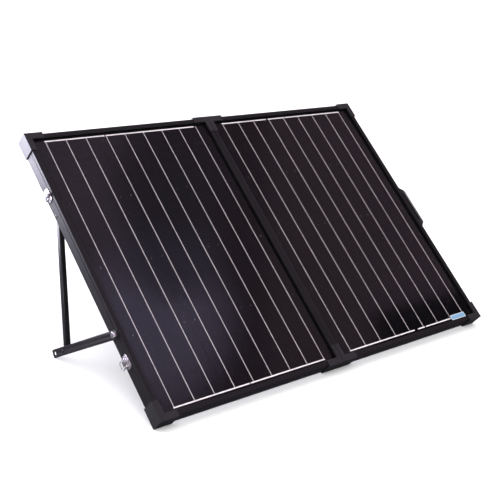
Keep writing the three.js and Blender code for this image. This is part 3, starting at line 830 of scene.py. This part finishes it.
def make_brace_bolt(side):
    """The hex bolt that the brace turns on, its nut, and the right one's spacer."""
    tip, outer = from_seam(f"{side}_brace_bolt")
    pivot = pivot_of(f"{side}_brace_swing")
    head, shaft, root = BOLT["head_high"], BOLT["shaft"], BOLT["root"]
    seat = outer - head
    turn = Matrix.Rotation(math.radians(BOLT["head_turn"]), 4, "Z")
    turned = [moved(p, turn) for p in hex_head(BOLT["head"], head)]
    shank = [(0, tip), (shaft - 0.4, tip), (shaft, tip + 0.5)]
    for k in range(BOLT["threads"]):
        z = tip + 0.9 + k
        shank += [(shaft, z), (root, z + 0.5)]
    shank += [(shaft, tip + BOLT["threads"] + 1), (shaft, seat + 0.4), (0, seat + 0.4)]
    parts = [shifted(p, z=seat) for p in turned] + [lathe(shank, 28)]
    parts = on_pivot(side, [moved(p, TO_X) for p in parts], pivot)
    make(f"{side}_brace_hex_bolt", parts, BRIGHT, f"{side}_panel",
         [f"{side}_brace_bolt"])
    x0, x1 = from_seam(f"{side}_brace_nut")
    bore, nut = BOLT["bore"], BOLT["nut"]
    collar = lathe([(bore, x0), (nut - 0.4, x0), (nut, x0 + 0.4), (nut, x1), (bore, x1)], 28)
    make(f"{side}_brace_clinch_nut", on_pivot(side, [moved(collar, TO_X)], pivot), DULL,
         f"{side}_panel", [f"{side}_brace_nut"])
    if side == "right":
        x0, x1 = from_seam("right_brace_spacer")
        bore, face = BOLT["sleeve_bore"], BOLT["sleeve"]
        sleeve = lathe([(bore, x0 + 0.3), (face - 0.3, x0), (face, x0 + 0.3), (face, x1 - 0.3),
                        (face - 0.3, x1), (bore, x1 - 0.3)], 32)
        make("right_brace_sleeve", on_pivot(side, [moved(sleeve, TO_X)], pivot), DULL,
             "right_panel", ["right_brace_spacer"])


# ---- hinges ----

HINGE = {"knuckle": 3.3, "knuckles": 5, "bore": 1.6, "rod": 1.4, "rod_head": 2.8, "back": -33.5,
         "front": -32.3, "screw_x": 17, "screw_in": 10, "screw_hole": 2.4, "screw_head": 3.6}


def hinge_leaf(reach, bottom, top, axis_z, own, screws_y):
    """One leaf for the right side, with every other knuckle."""
    knuckle, back, front = HINGE["knuckle"], HINGE["back"], HINGE["front"]
    step = (top - bottom) / HINGE["knuckles"]
    holes = [hole(HINGE["screw_hole"], HINGE["screw_x"], y, 20) for y in screws_y]
    leaf = [plate([rectangle(knuckle + 0.6, reach, bottom, top, 3), *holes], back, front, 0.25)]
    for i in range(own, HINGE["knuckles"], 2):
        y0, y1 = bottom + i * step + 0.15, bottom + (i + 1) * step - 0.15
        ring = lathe([(HINGE["bore"], y0), (knuckle - 0.2, y0), (knuckle, y0 + 0.2),
                      (knuckle, y1 - 0.2), (knuckle - 0.2, y1), (HINGE["bore"], y1)], 28)
        leaf.append(shifted(moved(ring, TO_Y), 0, 0, axis_z))
        leaf.append(plate([rectangle(1.8, knuckle + 2, y0, y1, 0)], back, front, 0.2))
    return leaf


def make_hinge(level):
    pin_low, pin_high = spot(f"{level}_hinge_pin", PANEL)
    x, z = (pin_low.x + pin_high.x) / 2, (pin_low.z + pin_high.z) / 2
    bottom, top = pin_low.y + 1.5, pin_high.y - 1.5
    screws_y = [bottom + HINGE["screw_in"], (bottom + top) / 2, top - HINGE["screw_in"]]
    for own, side in enumerate(SIDES):
        node = f"{level}_hinge_{side}_leaf"
        leaf = hinge_leaf(from_seam(node)[1], bottom, top, z, own, screws_y)
        make(f"{level}_{side}_hinge_leaf", for_side(side, leaf), STAND, f"{side}_panel",
             [node])
        head = moved(screw_head(HINGE["screw_head"], 0.6), DOWN)
        heads = [shifted(head, HINGE["screw_x"], y, HINGE["back"] + 0.6) for y in screws_y]
        make(f"{level}_{side}_hinge_screws", for_side(side, heads), DULL, f"{side}_panel")
    span, rod, cap = pin_high.y - pin_low.y, HINGE["rod"], HINGE["rod_head"]
    pin = lathe([(0, 0), (cap - 0.6, 0), (cap, 0.4), (cap, 1.2), (rod, 1.2), (rod, span - 1.2),
                 (cap, span - 1.2), (cap, span - 0.4), (cap - 0.6, span), (0, span)], 28)
    make(f"{level}_hinge_rod", [shifted(moved(pin, TO_Y), x, pin_low.y, z)], BRIGHT,
         "left_panel", [f"{level}_hinge_pin"])


# ---- latches and keepers ----

def wall_plate(outline, x0, x1, bevel=0.25):
    """A plate on the outer wall, drawn with x as y and y as z."""
    return moved(plate(outline, x0, x1, bevel), TO_X)


LATCH = {"sheet": 1.6, "ear_y": 6.6, "half": 5.5, "pin": 1.4, "barrel": 2.6, "wire": 1.1,
         "plate_corner": 7, "rivet_in": 4.6, "rivet_hole": 1.9, "rivet_head": 2.6}
KEEPER = {"post": -25.2, "curl": 5.8, "thick": 1.8, "half": 6.5, "corner": 4, "sheet": 1.6,
          "rivet_y": 8.6, "rivet_zs": (-12.5, -25.5), "rivet_hole": 1.9, "rivet_head": 2.5}


def latch_plate(low, high, wall, axis):
    """The base that is riveted on the wall, and the two ears that hold the lever's pin."""
    sheet, ear_y = LATCH["sheet"], LATCH["ear_y"]
    outline = rectangle(low.y, high.y, low.z + 1, high.z, LATCH["plate_corner"])
    rivets_y = (low.y + LATCH["rivet_in"], high.y - LATCH["rivet_in"])
    rivet_z = (low.z + 1 + high.z) / 2
    holes = [hole(LATCH["rivet_hole"], y, rivet_z, 16) for y in rivets_y]
    base = [wall_plate([outline, *holes], wall, wall + sheet, 0.4)]
    # Ears are drawn with x as z and y as x, and their thickness runs along y.
    ear_outline = rounded([(-4.2, wall + 0.6), (4.2, wall + 0.6), (3, axis.x + 3),
                           (-3, axis.x + 3)], [0.2, 0.2, 2.9, 2.9])
    for y in (-ear_y, ear_y):
        ear = moved(plate([ear_outline], y - sheet / 2, y + sheet / 2, 0.2), TO_Y)
        base.append(shifted(ear, z=axis.z))
    head = moved(screw_head(LATCH["rivet_head"], 1.2), TO_X)
    return base, [shifted(head, wall + sheet - 0.1, y, rivet_z) for y in rivets_y]


def latch_lever(axis, bail_z, top):
    """The barrel on its pin, the handle with its curled tip and rib, and two cheeks."""
    half, pin, barrel = LATCH["half"], LATCH["pin"], LATCH["barrel"]
    end = LATCH["ear_y"] + 1
    turned = lathe([(0, -end), (pin, -end), (pin, -half), (barrel, -half), (barrel, half),
                    (pin, half), (pin, end), (0, end)], 28)
    handle = rounded([(-half, axis.z), (half, axis.z), (half, top - 3), (3.4, top),
                      (-3.4, top), (-half, top - 3)], [0.3, 0.3, 2, 2, 2, 2])
    curl = rounded([(-4.2, top - 3.6), (4.2, top - 3.6), (3.4, top), (-3.4, top)], 1.2)
    rib = rectangle(-1.2, 1.2, axis.z + 3, top - 5, 1.1)
    lever = [
        shifted(moved(turned, TO_Y), axis.x, 0, axis.z),
        wall_plate([handle], axis.x + 1.1, axis.x + 2.6, 0.45),
        wall_plate([curl], axis.x + 2.2, axis.x + 4.4, 0.7),
        wall_plate([rib], axis.x + 2.3, axis.x + 3.3, 0.4),
    ]
    cheek = rounded([(bail_z - 4, axis.x - 2.4), (bail_z + 5, axis.x - 2.4),
                     (bail_z + 5, axis.x + 1.5), (bail_z - 4, axis.x + 1.5)],
                    [1.6, 1.6, 0.2, 0.2])
    loops = [cheek, hole(pin + 0.05, bail_z, axis.x, 16)]
    for y in (0.9 - half, half - 0.9):
        lever.append(moved(plate(loops, y - 0.8, y + 0.8, 0.15), TO_Y))
    return lever


def latch_bail(axis_x, bail_z, low, high):
    """The wire loop, bent into the lever at both ends."""
    thick = LATCH["wire"]
    inner, reach = LATCH["half"] - 2, (high.y - low.y) / 2 - thick
    end = low.z + thick
    corners = [(inner, bail_z), (reach, bail_z), (reach, end), (-reach, end),
               (-reach, bail_z), (-inner, bail_z)]
    path = rounded([(axis_x, y, z) for y, z in corners], [0, 2.2, 3.2, 3.2, 2.2, 0])
    return [wire(path, thick, 16)]


def make_latch(level):
    lever, bail = (pivot_of(f"{level}_latch_{part}_swing") for part in ("lever", "wire"))
    axis = Vector((abs(lever.x), 0, lever.z))
    along = Vector((0, lever.y, 0))
    plate_node, lever_node, wire_node = (
        f"left_{level}_latch_{part}" for part in ("base", "lever", "wire"))
    low, high = spot(plate_node, PANEL)
    base, rivets = latch_plate(low - along, high - along, from_seam(plate_node)[0], axis)
    swing = latch_lever(axis, bail.z, spot(lever_node, PANEL)[1].z)
    loop = latch_bail(axis.x, bail.z, *spot(wire_node, PANEL))

    def placed(parts):
        return for_side("left", [shifted(p, 0, lever.y, 0) for p in parts])

    body, slot = "left_panel", "bright_steel"
    make(f"{level}_latch_plate", placed(base), BRIGHT, body, [plate_node])
    make(f"{level}_latch_rivets", placed(rivets), DULL, body)
    make(f"{level}_latch_handle", placed(swing), BRIGHT, f"{level}_latch_lever",
         [lever_node])
    make(f"{level}_latch_bail", placed(loop), BRIGHT, f"{level}_latch_wire", [wire_node])


def make_keeper(level):
    node = f"right_{level}_keeper"
    low, high = spot(node, PANEL)
    wall, reach = low.x, high.x
    middle, half = (low.y + high.y) / 2, (high.y - low.y) / 2
    outline = rectangle(-half, half, low.z, high.z, KEEPER["corner"])
    spots = [(y, z) for y in (-KEEPER["rivet_y"], KEEPER["rivet_y"]) for z in KEEPER["rivet_zs"]]
    holes = [hole(KEEPER["rivet_hole"], y, z, 16) for y, z in spots]
    parts = [wall_plate([outline, *holes], wall, wall + KEEPER["sheet"], 0.3)]
    post, curl, thick = KEEPER["post"], KEEPER["curl"], KEEPER["thick"]
    hook = rounded([(wall + 0.8, post), (reach, post), (reach, post + curl),
                    (reach - 1.5, post + curl), (reach - 1.5, post + thick),
                    (wall + 0.8, post + thick)], [0, 1.2, 0.7, 0.7, 0.6, 0])
    hook = [Vector((p.y, p.x)) for p in hook][::-1]
    parts.append(moved(plate([hook], -KEEPER["half"], KEEPER["half"], 0.3), TO_Y))
    make(f"{level}_keeper_hook", [shifted(p, 0, middle, 0) for p in parts], STAND,
         "right_panel", [node])
    head = moved(screw_head(KEEPER["rivet_head"], 0.9), TO_X)
    rivets = [shifted(head, wall + KEEPER["sheet"], middle + y, z) for y, z in spots]
    make(f"{level}_keeper_rivets", rivets, DULL, "right_panel")


# ---- handle and label ----

GRIP_SHAPE = {"edge": 2.4, "ribs": 24, "rib_in": 18, "screw": 2, "screw_head": 3.3}


def make_handle():
    low, high = spot("carry_handle", PANEL)
    base, top = low.x, high.x
    middle, half = (low.y + high.y) / 2, (high.y - low.y) / 2
    # Each corner: how far it stands out, how far it lies from the end, and its radius.
    outside = [(base, 0, 0.5), (base + 6, 0, 3), (top - 3, 11, 4), (top, 15, 4)]
    inside = [(base + 15, 27, 4), (base + 13, 23, 4), (base + 5, 19, 4), (base, 18, 0.5)]
    corners = [(x, y - half) for x, y, radius in outside]
    corners += [(x, half - y) for x, y, radius in outside[::-1] + inside[::-1]]
    corners += [(x, y - half) for x, y, radius in inside]
    order = outside + outside[::-1] + inside[::-1] + inside
    outline = rounded(corners, [radius for x, y, radius in order])
    loop = [Vector((p.x, p.y + middle)) for p in outline]
    body = plate([loop], low.z, high.z, GRIP_SHAPE["edge"], 4)
    make("handle_body", [body], GRIP, "right_panel", ["carry_handle"])
    ribs = []
    count, reach = GRIP_SHAPE["ribs"], half - GRIP_SHAPE["rib_in"]
    for face_z, up in ((high.z, 1), (low.z, -1)):
        for k in range(count):
            y = middle - reach + 2 * reach * k / (count - 1)
            rib = plate([rectangle(base + 16.6, top - 1.4, y - 1.05, y + 1.05, 0.9)],
                        -0.4, 0.6, 0.25)
            ribs.append(shifted(moved(rib, Matrix.Scale(up, 4, (0, 0, 1))), z=face_z))
    make("handle_grip_ribs", ribs, GRIP_RIB, "right_panel")
    for node in ("handle_screw_lower", "handle_screw_upper"):
        low, high = spot(node, PANEL)
        y, z = (low.y + high.y) / 2, (low.z + high.z) / 2
        length, radius = high.x - low.x, GRIP_SHAPE["screw"]
        shaft = lathe([(0, 0.5), (radius, 0.5), (radius, length), (0, length)], 24)
        head = plate([circle(GRIP_SHAPE["screw_head"], sides=6)], 0, 2.2, 0.35, 3)
        parts = [shifted(moved(p, TO_X), low.x, y, z) for p in (shaft, head)]
        make(f"{node}_body", parts, DULL, "right_panel", [node])


LABEL_MARGIN = 1.1


def make_label():
    low, high = spot("blank_label", PANEL)
    under = plate([within(low, high, 0, 1.6)], low.z, high.z - 0.1, 0.05, 1)
    over = plate([within(low, high, LABEL_MARGIN, 1.0)], high.z - 0.12, high.z, 0.04, 1)
    make("label_border", [under], LABEL_EDGE, "right_panel", ["blank_label"])
    make("label_face", [over], LABEL, "right_panel")


# ---- studio ----

FLOOR_REACH = 14
PLAIN_SKY = (1.5, 1.5, 1.5)
CEILING = (0.2, 0.135, 0.18)
BRIGHTER_RIGHT = (0.33, 0.235, 0.295)
BRIGHT_LEFT_EDGE = (0.58, 0.44, 0.6)
DARK_END = (0.002, 0.002, 0.004)
# Patches of the mirrored sky: direction, degrees from its middle to its edge, and colour.
SKY_PATCHES = [
    ((0.561, -0.245, 0.79), 5.5, (1.05, 0.92, 1.4)),
    ((0.586, -0.18, 0.789), 3.5, (0.38, 0.33, 0.5)),
    ((0.595, -0.115, 0.795), 4, (0.21, 0.18, 0.25)),
]
# Lamps in metres and watts: name, place, target, size, power and colour.
LAMPS = [
    ("key", (-1.6, -2.2, 3.2), (0, 0, 0.2), (2.2, 2.2), 34, (1, 1, 1)),
    ("side_card", (-1.15, 1.25, 0.2), (-0.52, 0.2, 0.4), (1.6, 0.8), 62, (0.86, 0.84, 1.0)),
    ("floor_strip", (-0.95, -0.3, 0.01), (-0.8, -0.1, 1.0), (0.35, 0.35), 5, (1, 1, 1)),
]
# Place and target in the panel's millimetres, roll in degrees, lens and sensor in mm.
CAMERA = {"place": (-1616.9, -449.4, 1635.8), "target": (-28.0, 416.0, 0), "roll": 40.83,
          "lens": 74.17, "shift_y": -0.0758, "sensor": 36}


def make_floor():
    mesh = bpy.data.meshes.new("studio_floor")
    signs = [(-1, -1), (1, -1), (1, 1), (-1, 1)]
    points = [(x * FLOOR_REACH, y * FLOOR_REACH, 0) for x, y in signs]
    mesh.from_pydata(points, [], [(0, 1, 2, 3)])
    mesh.materials.append(floor_paint())
    floor = add("studio_floor", mesh)


class Sky(Paint):
    """The same small builder around the world's background shader."""

    def __init__(self):
        self.world = bpy.data.worlds.new("studio")
        self.world.use_nodes = True
        self.tree = self.world.node_tree
        self.place = self.node("ShaderNodeTexCoord").outputs["Generated"]

    def lean(self, direction, low, high):
        """0 to 1 as a direction of the sky leans further toward the given one."""
        dot = self.node("ShaderNodeVectorMath", operation="DOT_PRODUCT")
        self.link(self.place, dot.inputs[0])
        dot.inputs[1].default_value = direction
        fade = self.node("ShaderNodeMapRange", interpolation_type="SMOOTHSTEP")
        fade.inputs["From Min"].default_value = low
        fade.inputs["From Max"].default_value = high
        self.link(dot.outputs["Value"], fade.inputs["Value"])
        return fade.outputs["Result"]

    def finish(self, mirrored, plain):
        gloss = self.node("ShaderNodeLightPath").outputs["Is Glossy Ray"]
        back = self.tree.nodes["Background"]
        self.link(self.mix(gloss, plain, mirrored), back.inputs["Color"])
        bpy.context.scene.world = self.world


def area_light(name, place, target, size, power, colour):
    data = bpy.data.lights.new(name, "AREA")
    data.shape = "RECTANGLE"
    data.size, data.size_y = size
    data.energy = power
    data.color = colour
    light = add(name, data)
    light.location = place
    aim = Vector(target) - Vector(place)
    light.rotation_euler = aim.to_track_quat("-Z", "Y").to_euler()
    light.visible_camera = False


def sky_patch(sky, direction, spread):
    """How near a direction of the sky is to one point of it: 1 there, falling to 0."""
    return sky.lean(Vector(direction).normalized(), math.cos(math.radians(spread)), 1)


def make_world():
    """White all round. Gloss mirrors a dimmer room: a ceiling that is brighter on the right
    and at the left edge, a cool lamp that dims to a gap beside it, and a dark end low on
    the right."""
    sky = Sky()
    ceiling = sky.mix(sky.lean((0.94, -0.1, -0.35), 0.37, 0.39), CEILING, BRIGHTER_RIGHT)
    ceiling = sky.mix(sky.lean((-1, 0, 0), -0.60, -0.54), ceiling, BRIGHT_LEFT_EDGE)
    for direction, spread, colour in SKY_PATCHES:
        ceiling = sky.mix(sky_patch(sky, direction, spread), ceiling, colour)
    low_end = sky.lean((-0.016, -0.938, -0.346), -0.010, -0.003)
    low_right = sky.math("MULTIPLY", low_end, sky.lean((1, 0, 0), 0.712, 0.722))
    sky.finish(sky.mix(low_right, ceiling, DARK_END), PLAIN_SKY)


def make_lights():
    for lamp in LAMPS:
        area_light(*lamp)


def make_camera():
    """The viewpoint that fits the panels' edges, busbars and stand."""
    place = Vector(CAMERA["place"])
    target = Vector(CAMERA["target"])
    roll = math.radians(CAMERA["roll"])
    ahead = (target - place).normalized()
    level = ahead.cross(Vector((0, 0, 1))).normalized()
    over = level.cross(ahead)
    across = level * math.cos(roll) + over * math.sin(roll)
    upright = over * math.cos(roll) - level * math.sin(roll)
    data = bpy.data.cameras.new("camera")
    data.sensor_width = CAMERA["sensor"]
    data.lens = CAMERA["lens"]
    data.shift_y = CAMERA["shift_y"]
    camera = add("camera", data)
    turn = Matrix((across, upright, -ahead)).transposed().to_4x4()
    turn = PANEL.to_quaternion().to_matrix().to_4x4() @ turn
    camera.matrix_world = Matrix.Translation(PANEL @ place) @ turn
    bpy.context.scene.camera = camera


# ---- assembly ----

bpy.context.scene.view_settings.view_transform = "Standard"
make_camera()
for side in SIDES:
    dress_frame(side)
    dress_glass(side)
    make_cells(side)
    make_seal(side)
    make_junction_box(side)
    make_strut(side)
    make_brace(side)
    make_brace_bolt(side)
for level in LEVELS:
    make_hinge(level)
    make_latch(level)
    make_keeper(level)
make_handle()
make_label()
make_floor()
make_world()
make_lights()
